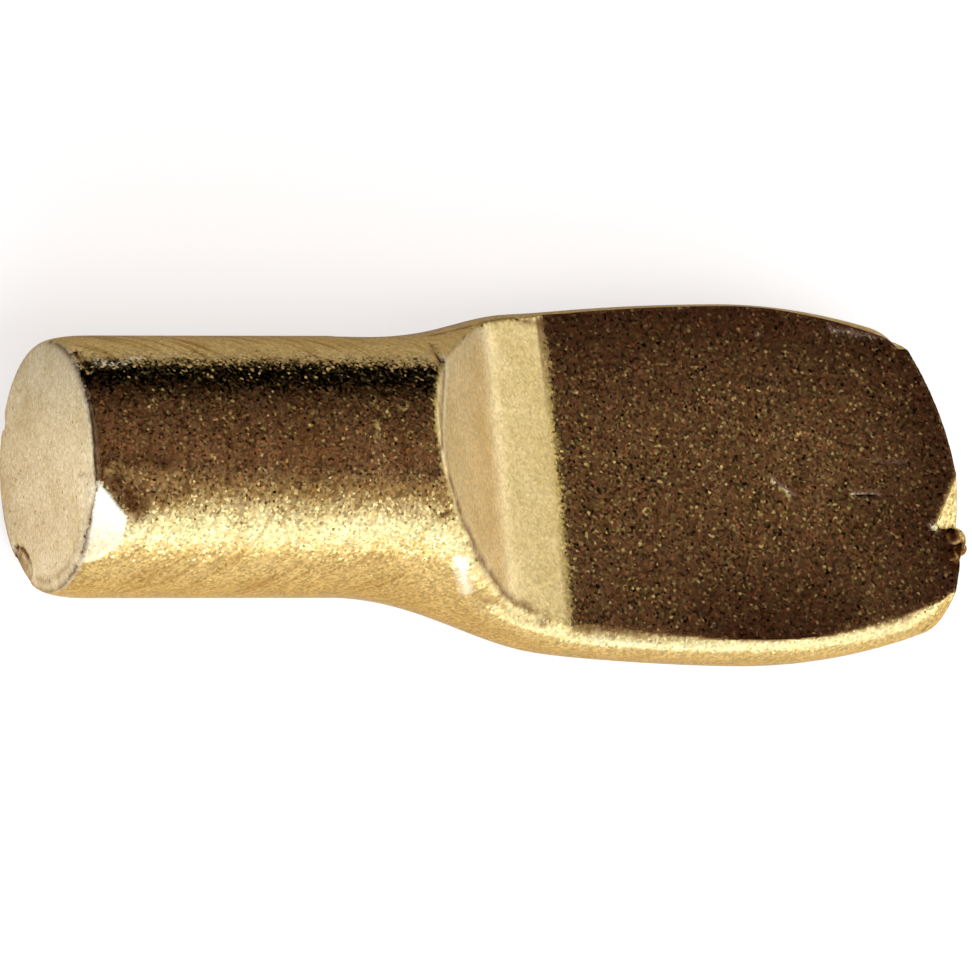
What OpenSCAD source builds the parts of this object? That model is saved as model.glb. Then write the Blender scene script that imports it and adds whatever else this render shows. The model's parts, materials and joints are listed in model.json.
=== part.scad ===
// Spoon shelf support pin, cold-pressed from one length of round brass rod.
// The plain shank goes into a hole in the cabinet side and the shelf lies on the seat.
// Millimetres. The shank's axis is the X axis, with the free end towards -X and the
// seat facing +Z. The origin is on that axis, where the plain shank ends.

/* [Shank] */
// Diameter of the plain shank
shank_d = 6.35; // [5:0.05:8]
// Length of the plain shank, from its free end to the start of the flare
shank_len = 7.4; // [5:0.1:16]
// Length along the shank over which its free end is rolled over
roll_len = 1; // [0.4:0.1:2]
// How far that roll-over draws the rim in, measured on the radius
roll_in = 0.2; // [0.05:0.01:0.4]

/* [Shoulder] */
// Distance from the end of the plain shank to the top of the shoulder
shoulder_x = 1.6; // [0.6:0.1:4]
// Slope of the upper half of the ramp, in degrees from the shank's axis
upper_slope = 47; // [35:1:60]
// Height of the knee, where the ramp turns flatter, above the seat
knee_h = 0.75; // [0.4:0.05:1.2]
// Slope of the lower half of the ramp, in degrees from the shank's axis
lower_slope = 21.5; // [15:0.5:30]
// Radius of the rounded knee
knee_r = 1.2; // [0.5:0.1:2]
// How far out of square the punch came down, in degrees about the vertical
punch_skew = 1.8; // [0:0.1:4]

/* [Spoon] */
// Width of the spoon at its widest point, over the bulged sides
spoon_w = 9.06; // [8.6:0.02:12]
// Thickness of the spoon
spoon_t = 2; // [1.6:0.05:2.4]
// How far the seat lies below the shank's axis
seat_drop = 0.45; // [0.2:0.05:0.8]
// Distance from the end of the ramp to the widest point
widest_from_ramp = 5; // [4:0.1:7]
// Distance from the widest point to the tip
tip_from_widest = 5.56; // [4.5:0.01:7]
// Radius of the sides in plan, between the ramp and the widest point
flank_r = 53; // [30:1:80]
// Radius of the sides in plan, between the widest point and the tip
nose_r = 14.3; // [12:0.1:20]
// Radius of the tip in plan
tip_r = 8; // [7:0.1:12]
// How far the middle of the tip is off the axis, to the right
tip_lean = 0.5; // [0:0.1:1]
// Radius of the tip's left corner in plan
left_corner_r = 0.8; // [0.5:0.05:1.6]
// Radius of the tip's right corner in plan
right_corner_r = 0.35; // [0.2:0.05:1]

/* [Pressed sides] */
// How far the left side bulges past the seat's edge at the ramp
left_bulge_ramp = 0.3; // [0.2:0.05:0.7]
// How far the right side bulges past it there
right_bulge_ramp = 0.5; // [0.2:0.05:0.7]
// How far both sides bulge at the widest point
bulge_widest = 0.27; // [0.2:0.01:0.5]
// How far they bulge at the corners of the tip
bulge_corner = 0.5; // [0.3:0.05:0.6]
// How far inside the shank's own surface the flare starts
neck_in = 0.01; // [0.01:0.01:0.2]
// Length over which the round shank flares out to the spoon's width
flare_len = 5.5; // [4:0.1:7]
// How much later the left side starts to flare, and earlier the right side
flare_skew = 0.6; // [0:0.05:0.8]
// Length over which the underside turns from round into the spoon's flat one
under_len = 6.5; // [5:0.1:8]
// Length over which the top does so, from the shoulder on
over_len = 5.2; // [4.6:0.1:8]
// Slope of the run-out under the spoon, in degrees from the shank's axis
underside_slope = 14; // [8:1:30]

/* [Torn tip] */
// Length of the chip broken out of the tip, along the tip's edge
chip_l = 1.47; // [0.8:0.01:2]
// How far the chip reaches in from the tip
chip_in = 0.85; // [0.4:0.01:1.2]
// Slope of the chip's floor, in degrees
chip_slope = 30; // [15:1:45]
// Radius of the burr pushed out beside the chip
burr_r = 0.32; // [0.15:0.01:0.5]
// How far the burr stands out past the tip's edge
burr_out = 0.2; // [0.05:0.01:0.4]

/* [Hidden] */
shank_r = shank_d / 2;
neck_r = shank_r - neck_in;
seat_z = -seat_drop;
under_z = seat_z - spoon_t;
mid_z = seat_z - spoon_t / 2;
knee_z = seat_z + knee_h;
knee_x = shoulder_x + (shank_r - knee_z) / tan(upper_slope);
ramp_x = knee_x + knee_h / tan(lower_slope);
widest_x = ramp_x + widest_from_ramp;
tip_x = widest_x + tip_from_widest;
chip_y = -chip_l;
reach = 3 * shank_d;              // past every face that a cutting tool has to clear
arc_n = 20;                       // points down each side of a section
knee_n = 6;                       // facets of the rounded knee
roll_n = 6;                       // facets of the rolled rim
coarse_step = 0.35;               // distance between sections along the flare and the flanks
fine_step = 0.1;                  // distance between them round the corners of the tip
fine_x = corner_centre(1, left_corner_r)[0];

// A smooth step from 0 to 1, and the value that lies t of the way from a to b
function ease(t) = let (u = min(max(t, 0), 1)) u * u * (3 - 2 * u);
function mix(a, b, t) = a + (b - a) * t;

// Radius of the arc that stands b proud of a chord of half-length h
function bulge_radius(h, b) = (h * h + b * b) / (2 * b);

// Half width of the flank's own arcs at x
function flank_half(x) =
    let (r = x < widest_x ? flank_r : nose_r, d = x - widest_x)
    spoon_w / 2 - r + sqrt(r * r - d * d);

// Centre of a tip corner of radius r on the side s: it touches the flank's arc and the tip's
function corner_centre(s, r) =
    let (
        flank = [widest_x, s * (spoon_w / 2 - nose_r)],
        tip = [tip_x - tip_r, -tip_lean],
        gap = norm(tip - flank),
        along = (tip - flank) / gap,
        across = [-along[1], along[0]],
        a = (pow(nose_r - r, 2) - pow(tip_r - r, 2) + gap * gap) / (2 * gap),
        h = sqrt(pow(nose_r - r, 2) - a * a),
        pair = [flank + a * along + h * across, flank + a * along - h * across]
    )
    s * pair[0][1] > s * pair[1][1] ? pair[0] : pair[1];

// Half width with that corner rounded off, as far as the tip's own arc
function rounded_half(x, s, r) =
    let (
        c = corner_centre(s, r),
        flank_end = c[0] + r * (c[0] - widest_x) / (nose_r - r),
        tip_start = c[0] + r * (c[0] - tip_x + tip_r) / (tip_r - r),
        d = min(x, tip_start) - c[0]
    )
    x <= flank_end ? flank_half(x) : s * c[1] + sqrt(r * r - d * d);

// Half width of the pressed rod at x on the side s (1 left, -1 right)
function half_w(x, s) =
    let (
        pressed = rounded_half(x, s, s > 0 ? left_corner_r : right_corner_r),
        lag = s * flare_skew
    )
    mix(neck_r, pressed, ease((x - lag) / (flare_len - lag)));

// How far the side s stands past the seat's edge at x
function bulge(x, s) =
    let (at_ramp = s > 0 ? left_bulge_ramp : right_bulge_ramp)
    x < widest_x
        ? mix(bulge_widest, at_ramp, ease((widest_x - x) / widest_from_ramp))
        : mix(bulge_widest, bulge_corner, ease((x - widest_x) / tip_from_widest));

// One section of the rod at x: down the right side and up the left one. Above and below the
// line of its greatest width it is an ellipse at the neck and a circle of the bulge at the spoon.
function section(x) =
    let (
        under = ease(x / under_len),
        over = ease((x - shoulder_x) / over_len),
        z = mix(0, mid_z, under)
    )
    [for (s = [-1, 1], i = [0 : arc_n - 1])
        let (
            a = 90 - 180 * (i + 0.5) / arc_n,
            rise = -s * sin(a),
            flat = rise > 0 ? over : under,
            w = half_w(x, s),
            b = bulge_radius(spoon_t / 2, bulge(x, s)),
            ry = mix(w, b, flat),
            rz = rise > 0 ? mix(neck_r, mid_z + b, over) - z : z - mix(-neck_r, mid_z - b, under)
        )
        [x, s * (w - ry + ry * cos(a)), z + rz * rise]];

stations = concat(
    [for (x = [0 : coarse_step : fine_x - coarse_step / 2]) x],
    [for (x = [fine_x : fine_step : tip_x + fine_step]) x]
);

// The rod's skin after pressing, before the punch and the die flatten it
module pressed_rod() {
    n = 2 * arc_n;
    last = len(stations) - 1;
    points = [for (x = stations) each section(x)];
    walls = [for (k = [0 : last - 1], i = [0 : n - 1])
        let (j = (i + 1) % n)
        each [[k * n + i, (k + 1) * n + j, k * n + j], [k * n + i, (k + 1) * n + i, (k + 1) * n + j]]];
    start_cap = [[for (i = [0 : n - 1]) i]];
    end_cap = [[for (i = [n - 1 : -1 : 0]) last * n + i]];
    polyhedron(points, concat(walls, start_cap, end_cap), convexity = 4);
}

// The gap left between punch and die when they close: the ramp with its rounded knee and the
// seat above, the run-out and the spoon's flat back below
module tool_gap() {
    turn = upper_slope - lower_slope;
    back = knee_r * tan(turn / 2);
    start = [knee_x - back * cos(upper_slope), knee_z + back * sin(upper_slope)];
    centre = start + knee_r * [sin(upper_slope), cos(upper_slope)];
    knee = [for (i = [0 : knee_n])
        let (a = upper_slope - turn * i / knee_n)
        centre - knee_r * [sin(a), cos(a)]];
    foot_x = ramp_x - spoon_t;
    punch_side = concat(
        [[shoulder_x - reach / tan(upper_slope), shank_r + reach]],
        knee,
        [[ramp_x, seat_z], [tip_x + reach, seat_z]]
    );
    die_side = [
        [tip_x + reach, under_z],
        [foot_x, under_z],
        [foot_x - reach / tan(underside_slope), under_z - reach]
    ];
    rotate([90, 0, -punch_skew])
        linear_extrude(2 * reach, center = true)
            polygon(concat(punch_side, die_side));
}

// The outline that the spoon is cut to: everything behind its convex tip
module tip_outline() {
    translate([tip_x - tip_r, -tip_lean, -reach]) {
        cylinder(h = 2 * reach, r = tip_r, $fn = 180);
        translate([-2 * reach, -reach, 0])
            cube([2 * reach, 2 * reach, 2 * reach]);
    }
}

// The chip broken out of the tip's top edge, on its right half
module chip() {
    edge = [tip_x, 0];
    inner = [tip_x - chip_in, chip_y];
    bearing = atan2(inner[0] - edge[0], edge[1] - inner[1]);
    intersection() {
        translate([0, 0, -reach])
            linear_extrude(2 * reach)
                polygon([edge, inner, [tip_x + reach, chip_y], [tip_x + reach, 0]]);
        translate([edge[0], edge[1], seat_z])
            rotate([0, 0, bearing])
                rotate([0, chip_slope, 0])
                    translate([-reach, -reach, 0])
                        cube(2 * reach);
    }
}

// The lump of metal pushed out beside the chip
module burr() {
    edge_x = tip_x - tip_r + sqrt(tip_r * tip_r - pow(chip_y + tip_lean, 2));
    translate([edge_x + burr_out - burr_r, chip_y - burr_r / 2, seat_z - burr_r])
        sphere(burr_r, $fn = 40);
}

// The plain shank, with its free end rolled over
module shank() {
    rim = [for (i = [0 : roll_n])
        let (a = 90 * i / roll_n)
        [shank_r - roll_in * (1 - sin(a)), roll_len * (1 - cos(a))]];
    translate([-shank_len, 0, 0])
        rotate([0, 90, 0])
            rotate_extrude($fn = 80)
                polygon(concat([[0, 0]], rim, [[shank_r, shank_len], [0, shank_len]]));
}

module shelf_pin() {
    color("#D8B765") {
        shank();
        difference() {
            intersection() {
                pressed_rod();
                tool_gap();
                tip_outline();
            }
            chip();
        }
        burr();
    }
}

shelf_pin();
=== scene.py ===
import json
import math

import bpy
from mathutils import Matrix, Vector
from mathutils.kdtree import KDTree

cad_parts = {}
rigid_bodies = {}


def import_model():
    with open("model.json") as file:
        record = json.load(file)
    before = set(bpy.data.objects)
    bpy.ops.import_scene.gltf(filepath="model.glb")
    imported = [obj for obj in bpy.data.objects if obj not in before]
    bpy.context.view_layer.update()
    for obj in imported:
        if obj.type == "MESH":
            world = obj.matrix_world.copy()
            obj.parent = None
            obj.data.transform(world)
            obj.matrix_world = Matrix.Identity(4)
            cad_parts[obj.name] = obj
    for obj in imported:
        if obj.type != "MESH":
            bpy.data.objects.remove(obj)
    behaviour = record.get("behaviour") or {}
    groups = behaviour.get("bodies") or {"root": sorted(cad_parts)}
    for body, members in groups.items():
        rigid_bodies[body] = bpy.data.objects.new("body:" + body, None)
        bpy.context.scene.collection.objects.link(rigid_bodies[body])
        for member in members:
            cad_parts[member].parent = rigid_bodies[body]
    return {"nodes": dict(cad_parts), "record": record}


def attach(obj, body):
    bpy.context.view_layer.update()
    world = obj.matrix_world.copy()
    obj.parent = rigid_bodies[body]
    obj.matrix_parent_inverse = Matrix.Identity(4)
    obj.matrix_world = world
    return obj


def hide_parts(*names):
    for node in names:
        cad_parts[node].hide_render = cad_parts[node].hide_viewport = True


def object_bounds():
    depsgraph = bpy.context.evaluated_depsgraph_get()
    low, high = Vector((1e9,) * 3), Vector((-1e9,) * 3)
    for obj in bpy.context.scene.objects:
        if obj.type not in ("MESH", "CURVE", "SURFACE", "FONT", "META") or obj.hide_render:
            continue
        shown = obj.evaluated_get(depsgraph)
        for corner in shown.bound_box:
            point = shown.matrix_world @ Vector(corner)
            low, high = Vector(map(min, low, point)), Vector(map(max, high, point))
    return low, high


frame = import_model()
cad_low, cad_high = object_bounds()

# ---------------------------------------------------------------------------
# Shelf support pin: one length of round brass rod, sheared off and pressed cold
# into a ramp and a flat spoon, then dipped bright. The solid gives its form, and
# a finely meshed copy of it, worked in millimetres, carries the dents and tears.
# ---------------------------------------------------------------------------
MM = 0.001
mounts = {mount["name"]: mount for mount in frame["record"]["mounts"]}
shank_r = mounts["shank"]["dims"]["r_mm"]
seat_z = mounts["seat"]["pos_m"][2] / MM
free_x = cad_low.x / MM

cad_pin = frame["nodes"]["shelf_pin"]
pin = cad_pin.copy()
pin.data = cad_pin.data.copy()
pin.name = "spoon_pin"
pin.parent = None
pin.matrix_world = Matrix.Identity(4)
bpy.context.scene.collection.objects.link(pin)
pin.data.transform(Matrix.Scale(1 / MM, 4))
points = pin.data.vertices


def work_on(piece):
    """Selects one piece and makes it the active one."""
    bpy.ops.object.select_all(action="DESELECT")
    bpy.context.view_layer.objects.active = piece
    piece.select_set(True)


def apply_modifier(piece, kind, **settings):
    """Adds one modifier with its settings and applies it."""
    work_on(piece)
    modifier = piece.modifiers.new(kind.lower(), kind)
    for name, value in settings.items():
        setattr(modifier, name, value)
    bpy.ops.object.modifier_apply(modifier=modifier.name)


def combine(operation):
    """Cuts the piece just made out of the pin, or joins it on."""
    tool = bpy.context.object
    apply_modifier(pin, "BOOLEAN", object=tool, operation=operation, solver="EXACT")
    bpy.data.objects.remove(tool)


def dent(centre, size, rotation=(0, 0, 0)):
    """Presses the mark of a hard rounded lump of this size into the pin."""
    bpy.ops.mesh.primitive_uv_sphere_add(segments=32, ring_count=16, radius=0.5, location=centre,
                                         rotation=[math.radians(a) for a in rotation], scale=size)
    combine("DIFFERENCE")


def flat_on_shank(x, turn, slope):
    """Cuts a flat that runs out at x: where it lies round the shank and how it slopes, in degrees."""
    block = 8
    turn, slope = math.radians(turn), math.radians(slope)
    facing = Vector((-math.sin(slope), math.cos(slope) * math.cos(turn), math.cos(slope) * math.sin(turn)))
    top = Vector((x, shank_r * math.cos(turn), shank_r * math.sin(turn)))
    bpy.ops.mesh.primitive_cube_add(size=block, location=top + block / 2 * facing,
                                    rotation=facing.to_track_quat("Z", "X").to_euler())
    combine("DIFFERENCE")
    return top, facing


work_on(pin)
bpy.ops.object.mode_set(mode="EDIT")
bpy.ops.mesh.select_all(action="SELECT")
bpy.ops.mesh.remove_doubles(threshold=0.0005)
bpy.ops.object.mode_set(mode="OBJECT")

# The shears left a steep torn flat on the rim and pressed a long shallow one beside it
flat_on_shank(-4.6, 116, 2.4)
torn_top, torn_facing = flat_on_shank(-6.5, 135, 22)

# A fold and three nicks round the rim of the free end
dent((free_x - 0.02, -1.78, -2.24), (0.34, 1.5, 0.5), (-37, 0, 0))
dent((free_x, 2.72, -1.6), (0.3, 0.26, 0.26))
dent((free_x, 1.92, -2.42), (0.4, 0.36, 0.5), (50, 0, 0))
dent((free_x + 0.1, 0.8, 3.02), (0.3, 0.2, 0.24))
# Marks along the top of the shank
dent((-6.6, 1.83, 2.66), (0.9, 0.3, 0.16), (-35, 0, 0))
dent((-5.8, 1.95, 2.6), (0.4, 0.2, 0.12), (-38, 0, 0))

# The tear at the tip left a lumpy burr: the centre and the size of each lump
burr = [
    ((16.45, -1.62, -0.52), (0.5, 0.5, 0.3)),
    ((16.6, -1.9, -0.6), (0.44, 0.36, 0.34)),
    ((16.35, -2.1, -0.5), (0.3, 0.36, 0.26)),
    ((16.4, -2.3, -0.52), (0.2, 0.24, 0.18)),
]
for centre, size in burr:
    bpy.ops.mesh.primitive_uv_sphere_add(segments=16, ring_count=8, radius=0.5, location=centre, scale=size)
    combine("UNION")

# One even mesh over the whole pin, with faces about 0.08 mm across
apply_modifier(pin, "REMESH", mode="SHARP", octree_depth=9, scale=0.57, sharpness=1)


def sharp_edges(angle):
    """The edges of the pin that turn more than this many degrees."""
    work_on(pin)
    bpy.ops.object.mode_set(mode="EDIT")
    bpy.ops.mesh.select_mode(type="EDGE")
    bpy.ops.mesh.select_all(action="DESELECT")
    bpy.ops.mesh.edges_select_sharp(sharpness=math.radians(angle))
    bpy.ops.object.mode_set(mode="OBJECT")
    return [edge for edge in pin.data.edges if edge.select]


def smooth_down(chosen, times):
    """Smooths the chosen points of the pin, so many times over."""
    group = pin.vertex_groups.new(name="chosen")
    group.add(chosen, 1, "REPLACE")
    apply_modifier(pin, "SMOOTH", factor=0.5, iterations=times, vertex_group="chosen")
    pin.vertex_groups.clear()


# Sharp edges stay where pressing and shearing left them, and the walls between them run smooth
sharp_edges(22)
bpy.ops.object.mode_set(mode="EDIT")
bpy.ops.mesh.select_mode(type="VERT")
bpy.ops.mesh.select_more()
bpy.ops.mesh.select_all(action="INVERT")
bpy.ops.object.mode_set(mode="OBJECT")
smooth_down([v.index for v in points if v.select], 16)

# The free end and the shoulder, as far as here, are worn round
worn_to = 3.4
smooth_down([v.index for v in points if v.co.x < worn_to], 8)

# The ramp runs smooth over its knee, down to a crease that stays sharp. It is found in three
# parts: the place each starts at, the side it reaches to, and how far it leans forward
ramp_parts = ((3.2, shank_r * 2, 0.3), (2.4, shank_r * 2, 0.5), (2, -0.6, 0.4))
smooth_down([v.index for v in points if v.co.z > seat_z + 0.25
             and any(v.co.x > x and v.co.y < side and v.normal.x > lean for x, side, lean in ramp_parts)], 60)

# The seat stays dead flat
smooth_down([v.index for v in points if v.normal.z <= 0.85 or abs(v.co.z - seat_z) >= 0.08], 1)


def find_points(places):
    """A search tree over these places."""
    tree = KDTree(len(places))
    for number, place in enumerate(places):
        tree.insert(place, number)
    tree.balance()
    return tree


def corners(angle):
    """The ends of all edges that turn more than this many degrees."""
    return [points[i].co.copy() for edge in sharp_edges(angle) for i in edge.vertices]


def share(value, none, full):
    """How far a value has come on its way from none to full, from 0 to 1."""
    return min(max((value - none) / (full - none), 0), 1)


# The pressed rod swells a little just below the near edge of the seat, where it was also drawn
# smooth: how far it swells, over what width, and where along the pin the swell fades in and out
swell, swell_width, swell_polish = 0.13, 1.1, 0.14
fade_in, fade_out = (1.5, 3), (16.3, 15.1)
outward = [v.normal.copy() for v in points]
seat_rim = find_points([co for co in corners(30) if co.y < 0 and co.x > 2 and co.z > seat_z - 0.3])
drawn_smooth = [0.0] * len(points)
for v in points:
    facing = outward[v.index]
    ends = min(share(v.co.x, *fade_in), share(v.co.x, *fade_out))
    on_flank = v.co.y < 0 and facing.y < 0 and facing.z < 0.8 and facing.x < 0.3
    gap = seat_rim.find(v.co)[2] if on_flank and ends > 0 else swell_width
    if gap < swell_width:
        drawn_smooth[v.index] = swell_polish * ends * (1 - gap / swell_width)
        v.co += facing * swell * ends * math.sin(math.pi * gap / swell_width)

# The blade skidded at the end of its cut and left a sloping crescent on one side of the end face:
# the circle it lies outside, and in degrees where it fades in and out and how it slopes
crescent_y, crescent_z, crescent_r = -1.25, 0.17, 1.7
crescent_in, crescent_out, crescent_slope = (108, 133), (177, 162), 8
for v in points:
    turn = math.degrees(math.atan2(v.co.z, v.co.y))
    beyond = math.hypot(v.co.y - crescent_y, v.co.z - crescent_z) - crescent_r
    ends = min(share(turn, *crescent_in), share(turn, *crescent_out))
    if v.co.x < free_x + 0.08 and beyond > 0 and ends > 0:
        v.co.x += beyond * math.tan(math.radians(crescent_slope)) * ends

# Fine lines pressed into the skin or painted on it: how wide and deep each is, its tone, which
# paints shade with some dirt below 0 and a highlight above 0, and the points it runs through
rim_tree = find_points(corners(38))
skin_tree = find_points([v.co.copy() for v in points])
outward = [v.normal.copy() for v in points]
# Per point: painted shade with some dirt where a mark darkens the skin, and a painted highlight where one
# lightens it
dirt_and_shade, painted_highlight = [0.0] * len(points), [0.0] * len(points)


def press_and_paint(width, depth, tone, *places):
    """Draws one mark over the skin: below a tone of 0 it paints shade, standing for soiling too, and above 0
    it paints a highlight.
    """
    touched = {}
    for start, end in zip(places, places[1:]):
        start, end = Vector(start), Vector(end)
        steps = max(round((end - start).length / width * 3), 1)
        for step in range(steps + 1):
            centre = skin_tree.find(start.lerp(end, step / steps))[0]
            for place, number, gap in skin_tree.find_range(centre, width):
                touched[number] = max(touched.get(number, 0), 1 - gap / width)
    for number, near in touched.items():
        points[number].co -= outward[number] * depth * near
        layer = dirt_and_shade if tone < 0 else painted_highlight
        layer[number] = max(layer[number], abs(tone) * near)


def on_rim(radius, start, end, step=5):
    """Points round the free end at this radius, between two angles."""
    return [(free_x, radius * math.cos(math.radians(a)), radius * math.sin(math.radians(a)))
            for a in range(start, end + 1, step)]


# Free end: dark brown lines round its rolled rim, a dark ring inside it, and the crescent darkened, with a
# dark groove along its edge
press_and_paint(0.13, 0.0, -0.9, *on_rim(3.06, 20, 175))
press_and_paint(0.13, 0.0, -0.8, *on_rim(3.06, 175, 290))
press_and_paint(0.12, 0.0, -0.5, *on_rim(2.75, 165, 210))
press_and_paint(0.35, 0.0, -0.3, *on_rim(2.85, 112, 172))
press_and_paint(0.08, 0.02, -0.4, (free_x, -0.749, 1.789), (free_x, -1.1, 2.87))
# The fold: its lip, painted shade darkening its hollow, and a painted highlight on its bottom
press_and_paint(0.12, 0.08, -1.3, (free_x, -1.245, -2.556), (free_x, -1.443, -2.096), (free_x, -1.806, -1.754),
    (free_x, -2.081, -1.691), (free_x, -2.222, -1.887))
press_and_paint(0.3, 0.0, -1.3, (free_x + 0.1, -1.45, -2.62), (free_x + 0.12, -1.85, -2.4),
    (free_x + 0.1, -2.25, -2.05))
press_and_paint(0.12, 0.0, 0.35, (free_x, -1.6, -2.5), (free_x, -1.95, -2.2))
# A dark band on the shallow flat, and a painted dark reflection beside the torn one
press_and_paint(0.35, 0.0, -0.8, (-6.95, -0.87, 3.05), (-5.6, -0.87, 3.05))
press_and_paint(0.45, 0.0, -1.0, (-6.8, -1.3, 2.9), (-6.4, -1.7, 2.7), (-6.2, -2.0, 2.46))
# The marks along the top of the shank: a groove darkened with painted shade, and painted highlights on two
# bright patches beside it
press_and_paint(0.12, 0.05, -1.2, (-7.2, 2.2, 2.16), (-7.13, 1.58, 2.67))
press_and_paint(0.14, 0.0, 1.0, (-6.9, 1.84, 2.6), (-6.1, 1.76, 2.65))
press_and_paint(0.1, 0.0, 1.0, (-5.95, 1.94, 2.52), (-5.7, 1.94, 2.52))
# Shoulder: a painted highlight along the edge round the ramp, painted shade just outside it, and painted
# shade along the ramp's foot
ramp_edge = [(2.39, 2.08, 2.27), (2.15, 1.2, 2.6), (1.87, 0.2, 2.87), (1.75, -0.64, 2.99)]
ramp_foot = [(1.9, -1.24, 2.8), (2.32, -2.09, 2.29), (3.03, -2.83, 1.45), (3.97, -3.35, 0.51),
             (4.94, -3.69, -0.03)]
press_and_paint(0.14, 0.0, 0.6, *ramp_edge)
press_and_paint(0.13, 0.0, -0.8, *[(x - 0.17, y, z) for x, y, z in ramp_edge])
press_and_paint(0.2, 0.0, -0.8, *ramp_foot)
# The fold on the far shoulder, darkened with painted shade, and the dark line it runs on in; then a painted
# highlight in a streak on the flank and painted shade in its groove
press_and_paint(0.12, 0.05, -1.0, (2.29, 2.51, 1.86), (2.17, 1.86, 2.48))
press_and_paint(0.1, 0.02, -1.0, (2.5, 2.9, 1.2), (5.01, 3.79, -0.05), (6.33, 3.77, -0.44))
press_and_paint(0.22, 0.04, 0.9, (2.4, -2.78, 1.61), (2.9, -3.31, 0.72))
press_and_paint(0.3, 0.05, -0.35, (3.17, -3.41, 0.54), (3.48, -3.51, 0.37), (3.96, -3.61, 0.21),
    (4.38, -3.71, 0.04), (5.15, -3.83, -0.22))
# Seat: scratches from shelves, pressed in and given painted highlights, and one painted glint near its far
# edge
press_and_paint(0.09, 0.04, 0.9, (11.84, -0.15, seat_z), (12.37, -0.56, seat_z))
press_and_paint(0.09, 0.04, 0.9, (13.97, -0.51, seat_z), (14.6, -0.51, seat_z))
press_and_paint(0.09, 0.02, 0.4, (14.66, 0.31, seat_z), (15.4, 0.31, seat_z))
press_and_paint(0.1, 0.0, 0.9, (11.92, 3.53, seat_z), (11.98, 3.53, seat_z))
# Tip: a painted highlight on its rubbed far edge and on the end of the tear, and painted shade between the
# lumps of the burr
press_and_paint(0.1, 0.02, 0.8, (13.87, 3.68, -0.5), (15.69, 3.35, -0.68))
press_and_paint(0.14, 0.02, 1.0, (15.93, -1.4, -0.46), (16.0, -1.44, -0.46))
press_and_paint(0.3, 0.0, -1.3, (16.2, -1.5, -0.4), (16.6, -1.7, -0.4), (16.75, -1.9, -0.5), (16.3, -2.1, -0.4),
    (16.45, -2.35, -0.5))

# Corners over 38 degrees stay crisp, and so does the shallow crease at the foot of the ramp
crease = {edge.key for edge in sharp_edges(15)
          if all(abs(points[i].co.z - seat_z) < 0.05 and 4 < points[i].co.x < 7.5 for i in edge.vertices)}
bpy.ops.object.shade_smooth_by_angle(angle=math.radians(38))
for edge in pin.data.edges:
    if edge.key in crease:
        edge.use_edge_sharp = True

# What each point of the skin carries: its way to the nearest sharp edge, its painted shade and dirt,
# its painted highlight, how far a tool rubbed it smooth, and the painted shade that darkens the seat toward
# its borders
# Painted shade darkens the seat over this many millimetres in from its sharp edges
seat_shade_width = 3
gaps = [rim_tree.find(v.co)[2] for v in points]
rubbed, painted_seat_shade = [], []
for v, gap in zip(points, gaps):
    ramp = share(v.normal.x, 0.25, 0.65) if v.co.z > seat_z and v.co.x < 7 else 0
    # The torn flat is smeared too, and a painted highlight brightens it toward its upper end
    torn = 0
    if v.normal.dot(torn_facing) > 0.97 and abs((v.co - torn_top).dot(torn_facing)) < 0.06:
        torn = 0.35
        painted_highlight[v.index] = 0.6 * max(share(v.co.y, -2.6, -1.8), 0.05)
    # The top of the shank, which the rolls pressed hardest, is smoother than its sides
    turn = math.degrees(math.atan2(v.co.z, v.co.y))
    pressed = 0.12 * min(share(turn, 60, 52), share(turn, -20, -15)) if v.co.x < 3 else 0
    rubbed.append(max(ramp, torn, pressed, drawn_smooth[v.index]))
    on_seat = v.normal.z > 0.9 and abs(v.co.z - seat_z) < 0.08
    painted_seat_shade.append(share(gap, seat_shade_width, 0) if on_seat else 0)
layers = {"edge_gap": gaps, "dirt_and_shade": dirt_and_shade, "painted_highlight": painted_highlight, "rubbed": rubbed, "painted_seat_shade": painted_seat_shade}
for name, values in layers.items():
    layer = pin.data.attributes.new(name, "FLOAT", "POINT")
    layer.data.foreach_set("value", values)
pin.data.transform(Matrix.Scale(MM, 4))


def linear(code):
    """An sRGB hex colour as linear red, green, blue and alpha."""
    parts = [int(code[i:i + 2], 16) / 255 for i in (1, 3, 5)]
    return [p / 12.92 if p <= 0.04045 else ((p + 0.055) / 1.055) ** 2.4 for p in parts] + [1]


def add(tree, kind, links=None, inputs=None, **settings):
    """Adds one node with its settings and input values, and links its inputs."""
    node = tree.nodes.new(kind)
    for name, value in settings.items():
        setattr(node, name, value)
    for name, value in (inputs or {}).items():
        node.inputs[name].default_value = value
    for name, source in (links or {}).items():
        tree.links.new(source, node.inputs[name])
    return node


# Bright-dipped brass: acid takes the drawing scale off and leaves a fine crystalline grain, so
# each grain mirrors the room in its own direction. Real grains are some 0.03 mm across and are
# drawn twice as large, so that they show.
grain_size = 0.065
brass = bpy.data.materials.new("bright_dipped_brass")
brass.use_nodes = True
t = brass.node_tree
t.nodes.clear()
place = add(t, "ShaderNodeTexCoord").outputs["Object"]
spot = add(t, "ShaderNodeVectorMath", {0: place}, {"Scale": 1 / MM}, operation="SCALE").outputs[0]
axes = add(t, "ShaderNodeSeparateXYZ", {"Vector": spot})
grains = add(t, "ShaderNodeTexVoronoi", {"Vector": spot}, {"Scale": 1 / grain_size}, feature="F1")
dice = add(t, "ShaderNodeTexWhiteNoise", {"Vector": grains.outputs["Position"]}, noise_dimensions="3D")
chance = add(t, "ShaderNodeSeparateColor", {"Color": dice.outputs["Color"]})
wear_and_painted_light = {name: add(t, "ShaderNodeAttribute", attribute_name=name).outputs["Fac"] for name in layers}

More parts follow.
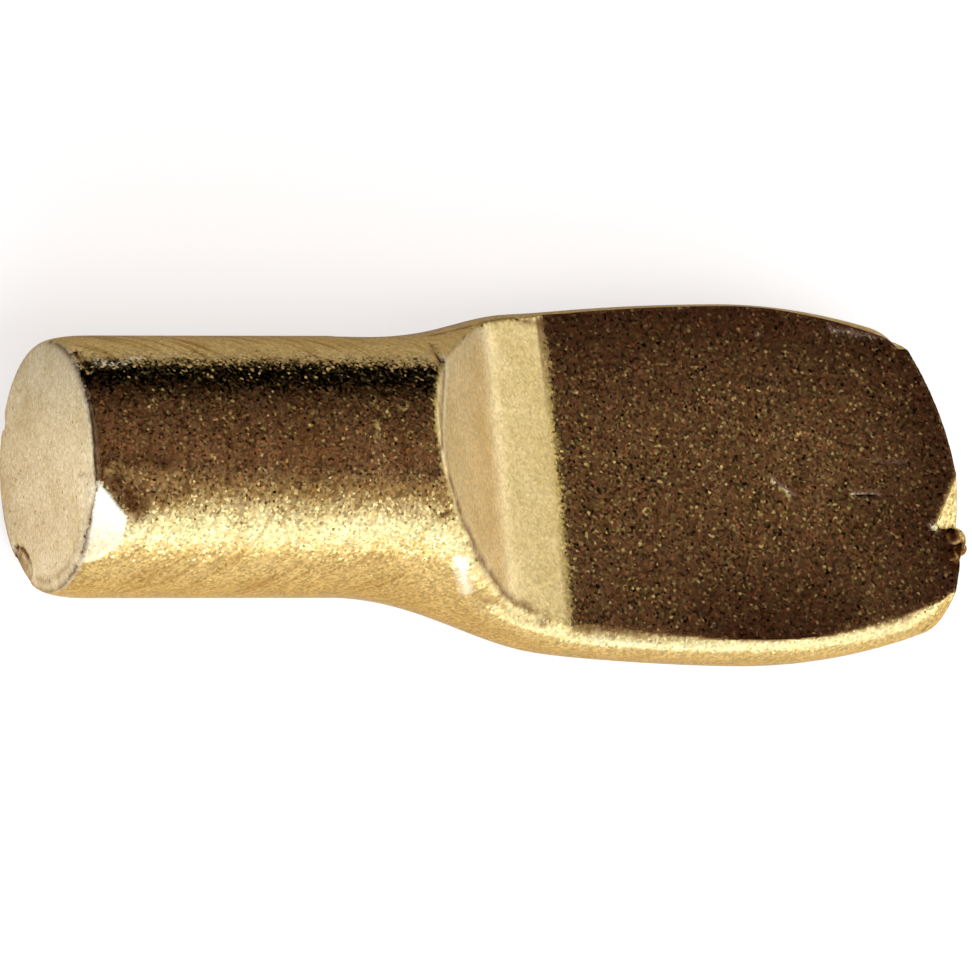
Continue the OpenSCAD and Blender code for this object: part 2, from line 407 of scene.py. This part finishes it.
# The sheared end face is paler and duller, and so is what a tool rubbed. In every Mix node
# socket 0 is the share, 2 and 3 are its two numbers, and 6 and 7 its two colours
end = add(t, "ShaderNodeMapRange", {"Value": axes.outputs["X"]},
          {"From Min": free_x + 0.16, "From Max": free_x + 0.1}).outputs["Result"]
pale = add(t, "ShaderNodeMath", {0: wear_and_painted_light["rubbed"]}, {1: 0.4}, operation="MULTIPLY")
pale = add(t, "ShaderNodeMath", {0: end, 1: pale.outputs[0]}, operation="MAXIMUM")
bare = add(t, "ShaderNodeMix", {0: pale.outputs[0]}, {6: linear("#DABC7E"), 7: linear("#F8EED2")},
           data_type="RGBA")
# Faint stains some 1 mm across
clouds = add(t, "ShaderNodeTexNoise", {"Vector": spot}, {"Scale": 0.9, "Detail": 4, "Roughness": 0.65})
stain = add(t, "ShaderNodeMapRange", {"Value": clouds.outputs["Fac"]},
            {"From Min": 0.35, "From Max": 0.65, "To Max": 0.35})
aged = add(t, "ShaderNodeMix", {0: stain.outputs["Result"], 6: bare.outputs[2]},
           {7: linear("#B79A55")}, data_type="RGBA")

# The rod was turned through the straightening rolls, which left faint marks winding round the
# shank, deepest along its top
wound = add(t, "ShaderNodeVectorMath", {0: spot}, {1: (2.6, 0.5, -2.2)}, operation="DOT_PRODUCT")
along = add(t, "ShaderNodeVectorMath", {0: spot}, {1: (0.25, 0.0, 0.3)}, operation="DOT_PRODUCT")
helix = add(t, "ShaderNodeCombineXYZ", {"X": wound.outputs["Value"], "Y": along.outputs["Value"]})
marks = add(t, "ShaderNodeTexNoise", {"Vector": helix.outputs[0]}, {"Scale": 1.3, "Detail": 2})
rolled = add(t, "ShaderNodeMapRange", {"Value": marks.outputs["Fac"]},
             {"From Min": 0.5, "From Max": 0.68, "To Max": 0.5})
on_top = add(t, "ShaderNodeMapRange", {"Value": axes.outputs["Y"]},
             {"From Min": 1.9, "From Max": 2.4, "To Min": 1.0, "To Max": 1.9})
rolled = add(t, "ShaderNodeMath", {0: rolled.outputs["Result"], 1: on_top.outputs["Result"]},
             operation="MULTIPLY")
shank_only = add(t, "ShaderNodeMapRange", {"Value": axes.outputs["X"]}, {"From Min": 2.6, "From Max": 1.4})
shank_only = add(t, "ShaderNodeMath", {0: shank_only.outputs["Result"], 1: end}, operation="SUBTRACT",
                 use_clamp=True)
rolled = add(t, "ShaderNodeMath", {0: rolled.outputs[0], 1: shank_only.outputs[0]}, operation="MULTIPLY")
streaked = add(t, "ShaderNodeMix", {0: rolled.outputs[0], 6: aged.outputs[2]}, {7: linear("#A2763C")},
               data_type="RGBA")

# Some grains lie a little deeper or prouder than others, and less so where the skin was rubbed
polish = add(t, "ShaderNodeMapRange", {"Value": wear_and_painted_light["rubbed"]}, {"From Max": 0.3, "To Max": 0.5})
smooth = add(t, "ShaderNodeMath", {0: end}, {1: 0.5}, operation="MULTIPLY")
smooth = add(t, "ShaderNodeMath", {0: smooth.outputs[0], 1: polish.outputs["Result"]}, operation="MAXIMUM")
pit = add(t, "ShaderNodeMapRange", {"Value": chance.outputs["Red"]}, {"To Min": 0.62, "To Max": 1.22})
pit = add(t, "ShaderNodeMix", {0: smooth.outputs[0], 2: pit.outputs["Result"]}, {3: 1.0}, data_type="FLOAT")
skin_colour = add(t, "ShaderNodeVectorMath", {0: streaked.outputs[2], "Scale": pit.outputs[0]},
                  operation="SCALE")

# Thin brown lines of painted shade run along the sharp edges, painted shade with some dirt darkens
# every groove, and painted shade turns the borders of the seat a darker, redder brown
patchy = add(t, "ShaderNodeTexNoise", {"Vector": spot}, {"Scale": 2.2, "Detail": 2})
reach = add(t, "ShaderNodeMapRange", {"Value": patchy.outputs["Fac"]},
            {"From Min": 0.3, "From Max": 0.7, "To Min": 0.03, "To Max": 0.1})
# Painted shade: a thin dark line along every sharp edge, its width varying in patches
edge_shade = add(t, "ShaderNodeMapRange", {"Value": wear_and_painted_light["edge_gap"], "From Max": reach.outputs["Result"]},
           {"To Min": 0.75, "To Max": 0.0})
broken = add(t, "ShaderNodeMapRange", {"Value": patchy.outputs["Fac"]},
             {"From Min": 0.35, "From Max": 0.5, "To Min": 0.4, "To Max": 1.0})
# Painted shade with some dirt in the grooves, broken into patches
groove = add(t, "ShaderNodeMath", {0: wear_and_painted_light["dirt_and_shade"], 1: broken.outputs["Result"]}, operation="MULTIPLY")
dirt_and_shade_share = add(t, "ShaderNodeMath", {0: edge_shade.outputs["Result"], 1: groove.outputs[0]}, operation="MAXIMUM",
            use_clamp=True)
# Painted shade toward the borders of the seat, in #7A5A3E
seat_shade_share = add(t, "ShaderNodeMapRange", {"Value": wear_and_painted_light["painted_seat_shade"]}, {"To Max": 0.95})
shaded = add(t, "ShaderNodeMix", {0: seat_shade_share.outputs["Result"], 6: skin_colour.outputs[0]},
             {7: linear("#7A5A3E")}, data_type="RGBA")
# The skin darkened toward #6E4A28 by painted shade with some dirt
dirt_and_shade_colour = add(t, "ShaderNodeMix", {0: dirt_and_shade_share.outputs[0], 6: shaded.outputs[2]}, {7: linear("#6E4A28")},
            data_type="RGBA")
# Painted highlight: lightens the skin toward pale cream #FBF0D2
colour = add(t, "ShaderNodeMix", {0: wear_and_painted_light["painted_highlight"], 6: dirt_and_shade_colour.outputs[2]}, {7: linear("#FBF0D2")},
             data_type="RGBA")

# Each grain has its own gloss and leans its own way, a few of them far more than the rest. Where a
# tool rubbed the skin the grains lie flat, and hard rubbing leaves them blunt
smeared = add(t, "ShaderNodeMapRange", {"Value": wear_and_painted_light["rubbed"]}, {"From Max": 0.25})
dull = add(t, "ShaderNodeMapRange", {"Value": chance.outputs["Green"]}, {"To Min": 0.05, "To Max": 0.25})
blunt = add(t, "ShaderNodeMapRange", {"Value": wear_and_painted_light["rubbed"]},
            {"From Min": 0.3, "To Min": 0.33, "To Max": 0.5})
gloss = add(t, "ShaderNodeMix",
            {0: smeared.outputs[0], 2: dull.outputs["Result"], 3: blunt.outputs["Result"]},
            data_type="FLOAT")
rare = add(t, "ShaderNodeMath", {0: chance.outputs["Blue"]}, {1: 3.0}, operation="POWER")
lean = add(t, "ShaderNodeMapRange", {"Value": rare.outputs[0]}, {"To Min": 0.12, "To Max": 0.44})
lean = add(t, "ShaderNodeMix", {0: smeared.outputs[0], 2: lean.outputs["Result"]}, {3: 0.06},
           data_type="FLOAT")
tilt = add(t, "ShaderNodeVectorMath", {0: grains.outputs["Color"]}, {1: (0.5, 0.5, 0.5)},
           operation="SUBTRACT")
slope = add(t, "ShaderNodeVectorMath", {0: tilt.outputs[0], "Scale": lean.outputs[0]}, operation="SCALE")
flat = add(t, "ShaderNodeNewGeometry")
rough = add(t, "ShaderNodeVectorMath", {0: flat.outputs["Normal"], 1: slope.outputs[0]}, operation="ADD")
unit = add(t, "ShaderNodeVectorMath", {0: rough.outputs[0]}, operation="NORMALIZE")
skin = add(t, "ShaderNodeBsdfPrincipled",
           {"Base Color": colour.outputs[2], "Roughness": gloss.outputs[0], "Normal": unit.outputs[0]},
           {"Metallic": 1, "Specular Tint": linear("#F7E7C4")})
add(t, "ShaderNodeOutputMaterial", {"Surface": skin.outputs["BSDF"]})
pin.data.materials.clear()
pin.data.materials.append(brass)

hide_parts("shelf_pin")
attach(pin, "root")

# ---------------------------------------------------------------------------
# Table: a plain pale top under the pin, white to the eye; in the brass softer, with painted shade
# and a painted pool of light; with one soft lamp that throws the pin's shadow on it
# ---------------------------------------------------------------------------
bpy.ops.mesh.primitive_plane_add(size=6, location=(0, 0, cad_low.z))
table = bpy.context.object
table.name = "table"
top = bpy.data.materials.new("white_table")
top.use_nodes = True
t = top.node_tree
t.nodes.clear()
path = add(t, "ShaderNodeLightPath")
mirrored = add(t, "ShaderNodeMath",
               {0: path.outputs["Is Glossy Ray"], 1: path.outputs["Is Transmission Ray"]},
               operation="ADD", use_clamp=True)
# In the brass the table carries painted shade close by, where the pin shuts the light off, and
# behind the pin, and a painted pool of light some way in front of it
near = add(t, "ShaderNodeAmbientOcclusion", inputs={"Distance": 8 * MM}, samples=8)
here = add(t, "ShaderNodeSeparateXYZ", {"Vector": add(t, "ShaderNodeTexCoord").outputs["Object"]})
# Painted shade behind the pin
painted_shade_behind = add(t, "ShaderNodeMapRange", {"Value": here.outputs["Y"]},
             {"From Min": 0.0, "From Max": 5 * MM, "To Min": 1.1, "To Max": 0.23},
             interpolation_type="SMOOTHSTEP")
# Painted pool of light in front of the pin
painted_light_pool = add(t, "ShaderNodeMapRange", {"Value": here.outputs["Y"]},
           {"From Min": -20 * MM, "From Max": -36 * MM, "To Min": 1.0, "To Max": 1.9},
           interpolation_type="SMOOTHSTEP")
dim = add(t, "ShaderNodeMath", {0: near.outputs["AO"], 1: painted_shade_behind.outputs["Result"]}, operation="MULTIPLY")
dim = add(t, "ShaderNodeMath", {0: dim.outputs[0], 1: painted_light_pool.outputs["Result"]}, operation="MULTIPLY")
dim = add(t, "ShaderNodeMath", {0: dim.outputs[0], 1: mirrored.outputs[0]}, operation="MULTIPLY")
seen = add(t, "ShaderNodeMath", {0: path.outputs["Is Camera Ray"], 1: dim.outputs[0]}, operation="ADD")
level = add(t, "ShaderNodeMath", {0: seen.outputs[0]}, {1: 0.65}, operation="MULTIPLY")
# A painted warm glow, strongest close to the pin, stands for the light the pin throws on the table; the eye
# sees the table white all the same
painted_warm_glow = add(t, "ShaderNodeMix", {0: near.outputs["AO"]}, {6: (1.0, 0.7, 0.45, 1), 7: (1, 0.95, 0.80, 1)},
           data_type="RGBA")
tint = add(t, "ShaderNodeMix", {0: path.outputs["Is Camera Ray"], 6: painted_warm_glow.outputs[2]}, {7: (1, 1, 1, 1)},
           data_type="RGBA")
glow = add(t, "ShaderNodeEmission", {"Strength": level.outputs[0], "Color": tint.outputs[2]})
matt = add(t, "ShaderNodeBsdfDiffuse", inputs={"Color": (0.8, 0.8, 0.8, 1)})
both = add(t, "ShaderNodeAddShader", {0: glow.outputs[0], 1: matt.outputs[0]})
add(t, "ShaderNodeOutputMaterial", {"Surface": both.outputs[0]})
table.data.materials.append(top)

# The lamp hangs over the near side and can't be seen in the brass
bpy.ops.object.light_add(type="SUN", rotation=(math.radians(30), 0, 0))
lamp = bpy.context.object
lamp.name = "table_lamp"
lamp.data.energy = 0.6
lamp.data.angle = math.radians(25)
lamp.visible_glossy = False

# ---------------------------------------------------------------------------
# Studio: soft lights low down on the near side and at both ends, little on the
# far side, and a dark warm ceiling
# ---------------------------------------------------------------------------
world = bpy.data.worlds.new("studio")
bpy.context.scene.world = world
world.use_nodes = True
t = world.node_tree
t.nodes.clear()
way = add(t, "ShaderNodeTexCoord").outputs["Generated"]
# Each light: its azimuth and elevation, the radii where it is full and where it ends, in
# degrees, and its red, green and blue. The last one is the ceiling
overhead = 90
lights = [
    (-95, 8, 14, 50, (1.08, 1.35, 1.75)),
    (-95, 5, 6, 27, (1.60, 2.00, 3.20)),
    (-45, 0, 12, 38, (1.60, 1.90, 2.30)),
    (6, 12, 24, 50, (0.84, 0.87, 0.75)),
    (6, 3, 6, 25, (1.36, 1.47, 1.85)),
    (-45, 30, 10, 35, (0.28, 0.26, 0.24)),
    (-60, 36, 6, 20, (0.26, 0.19, 0.10)),
    (67, -56, 56, 59, (0.30, 0.22, 0.17)),
    (-165, 10, 30, 78, (0.25, 0.20, 0.15)),
    (20, overhead, 10, 66, (0.115, 0.075, 0.072)),
]
# The ceiling is cluttered, so that the grains of the seat pick out light and dark
clutter = add(t, "ShaderNodeTexNoise", {"Vector": way}, {"Scale": 13.0, "Detail": 1})
mottle = add(t, "ShaderNodeMapRange", {"Value": clutter.outputs["Fac"]},
             {"From Min": 0.42, "From Max": 0.6, "To Max": 3.2})
hues = add(t, "ShaderNodeVectorMath", {0: clutter.outputs["Color"]},
           {1: (1.0, 0.8, 0.8), 2: (0.5, 0.6, 0.6)}, operation="MULTIPLY_ADD")
room = None
for azimuth, elevation, core, edge, light_colour in lights:
    a, e = math.radians(azimuth), math.radians(elevation)
    toward = (math.cos(a) * math.cos(e), math.sin(a) * math.cos(e), math.sin(e))
    nearness = add(t, "ShaderNodeVectorMath", {0: way}, {1: toward}, operation="DOT_PRODUCT")
    fade = add(t, "ShaderNodeMapRange", {"Value": nearness.outputs["Value"]},
               {"From Min": math.cos(math.radians(edge)), "From Max": math.cos(math.radians(core))},
               interpolation_type="SMOOTHSTEP")
    part = add(t, "ShaderNodeVectorMath", {"Scale": fade.outputs["Result"]}, {0: light_colour},
               operation="SCALE")
    if elevation == overhead:
        part = add(t, "ShaderNodeVectorMath", {0: part.outputs[0], "Scale": mottle.outputs["Result"]},
                   operation="SCALE")
        part = add(t, "ShaderNodeVectorMath", {0: part.outputs[0], 1: hues.outputs[0]}, operation="MULTIPLY")
    room = part if room is None else add(
        t, "ShaderNodeVectorMath", {0: room.outputs[0], 1: part.outputs[0]}, operation="ADD")
# The eye sees plain white all round, and only the brass mirrors the room
path = add(t, "ShaderNodeLightPath")
lit = add(t, "ShaderNodeBackground", {"Color": room.outputs[0]})
white = add(t, "ShaderNodeBackground", inputs={"Color": (1, 1, 1, 1)})
choice = add(t, "ShaderNodeMixShader",
             {0: path.outputs["Is Camera Ray"], 1: lit.outputs[0], 2: white.outputs[0]})
add(t, "ShaderNodeOutputWorld", {"Surface": choice.outputs[0]})

# ---------------------------------------------------------------------------
# Camera: a very long lens high above the near side of the free end, rolled so
# that the shank lies level
# ---------------------------------------------------------------------------
turn, tilt_down = math.radians(22.9), math.radians(17.7)
right = Vector((math.cos(turn), -math.sin(tilt_down) * math.sin(turn), math.cos(tilt_down) * math.sin(turn)))
up = Vector((0, math.cos(tilt_down), math.sin(tilt_down)))
back = right.cross(up)
lens, sensor, view_width = 1500, 36, 23.56 * MM
# The middle of the view, so many millimetres to the right, down and forward of the origin
aim = (3.798 * right - 0.4605 * up - 2.6 * back) * MM
bpy.ops.object.camera_add(location=aim + back * (lens / sensor * view_width))
camera = bpy.context.object
camera.rotation_euler = Matrix((right, up, back)).transposed().to_euler()
camera.data.lens = lens
camera.data.sensor_width = sensor
camera.data.clip_start, camera.data.clip_end = 0.1, 20
bpy.context.scene.camera = camera
bpy.context.scene.view_settings.view_transform = "Standard"
